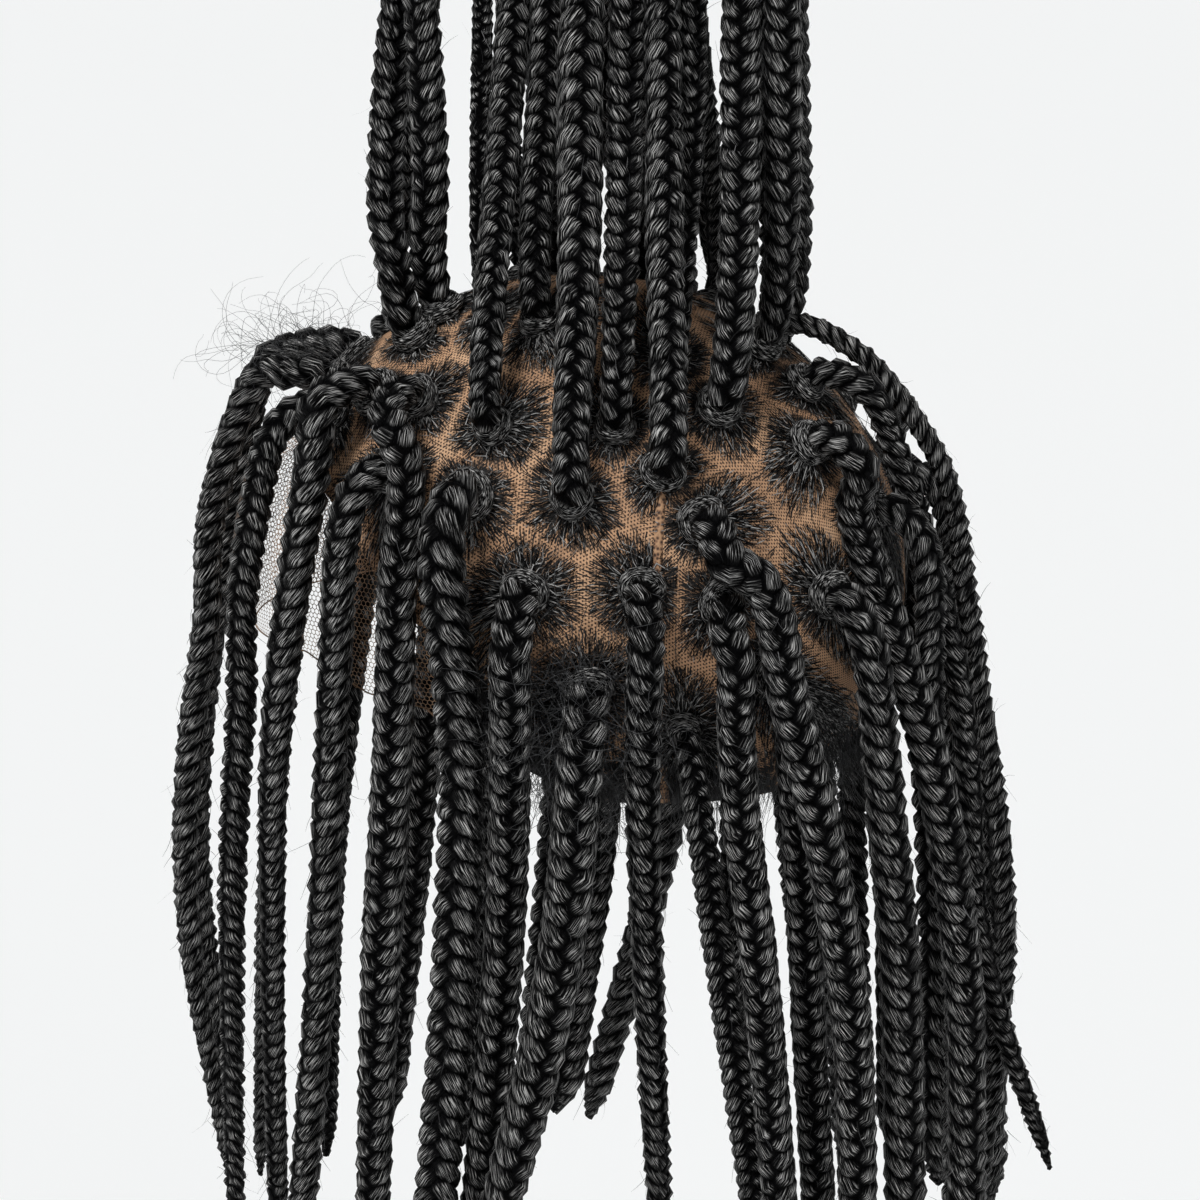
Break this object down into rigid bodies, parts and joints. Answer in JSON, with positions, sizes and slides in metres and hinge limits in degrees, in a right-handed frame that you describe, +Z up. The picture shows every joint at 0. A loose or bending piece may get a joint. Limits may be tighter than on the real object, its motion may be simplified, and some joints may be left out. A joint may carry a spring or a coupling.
{
  "type": "braid wig",
  "caption": "Head-worn wig: thin lace cap with long three-strand plaits, most hanging loose and the top ones gathered upwards in tied bunches.",
  "frame": {"origin": "inside of the crown of the cap, where it sits on the top of the head", "axes": "+Z up, -Y out of the face opening, +X towards the wearer's left"},
  "size_m": [0.2046, 0.2884, 0.4321],
  "materials": {
    "plait_hair": "satin black fibre",
    "lace": "matt sheer net",
    "elastic": "matt woven elastic"
  },
  "bodies": {
    "root": {"back_lace_panel": "lace", "back_plait_1": "plait_hair", "back_plait_2": "plait_hair", "back_plait_3": "plait_hair", "back_plait_4": "plait_hair", "back_tie": "elastic", "crown_plait_1": "plait_hair", "crown_plait_2": "plait_hair", "ear_plait_1": "plait_hair", "ear_plait_2": "plait_hair", "ear_plait_3": "plait_hair", "front_lace_panel": "lace", "front_plait_1": "plait_hair", "front_plait_2": "plait_hair", "front_plait_3": "plait_hair", "front_tie": "elastic", "middle_tie": "elastic", "nape_plait_1": "plait_hair", "nape_plait_2": "plait_hair", "nape_plait_3": "plait_hair", "raised_plait_1": "plait_hair", "raised_plait_10": "plait_hair", "raised_plait_11": "plait_hair", "raised_plait_12": "plait_hair", "raised_plait_2": "plait_hair", "raised_plait_3": "plait_hair", "raised_plait_4": "plait_hair", "raised_plait_5": "plait_hair", "raised_plait_6": "plait_hair", "raised_plait_7": "plait_hair", "raised_plait_8": "plait_hair", "raised_plait_9": "plait_hair", "right_back_plait_1": "plait_hair", "right_back_plait_2": "plait_hair", "right_back_plait_3": "plait_hair", "right_back_plait_4": "plait_hair", "right_ear_plait_1": "plait_hair", "right_ear_plait_2": "plait_hair", "right_ear_plait_3": "plait_hair", "right_front_plait_1": "plait_hair", "right_front_plait_2": "plait_hair", "right_front_plait_3": "plait_hair", "right_nape_plait_1": "plait_hair", "right_nape_plait_2": "plait_hair", "right_nape_plait_3": "plait_hair", "right_raised_plait_10": "plait_hair", "right_raised_plait_11": "plait_hair", "right_raised_plait_12": "plait_hair", "right_raised_plait_4": "plait_hair", "right_raised_plait_5": "plait_hair", "right_raised_plait_6": "plait_hair", "right_raised_plait_7": "plait_hair", "right_raised_plait_8": "plait_hair", "right_raised_plait_9": "plait_hair", "right_temple_plait_1": "plait_hair", "right_temple_plait_2": "plait_hair", "right_temple_plait_3": "plait_hair", "temple_plait_1": "plait_hair", "temple_plait_2": "plait_hair", "temple_plait_3": "plait_hair"}
  },
  "joints": []
}
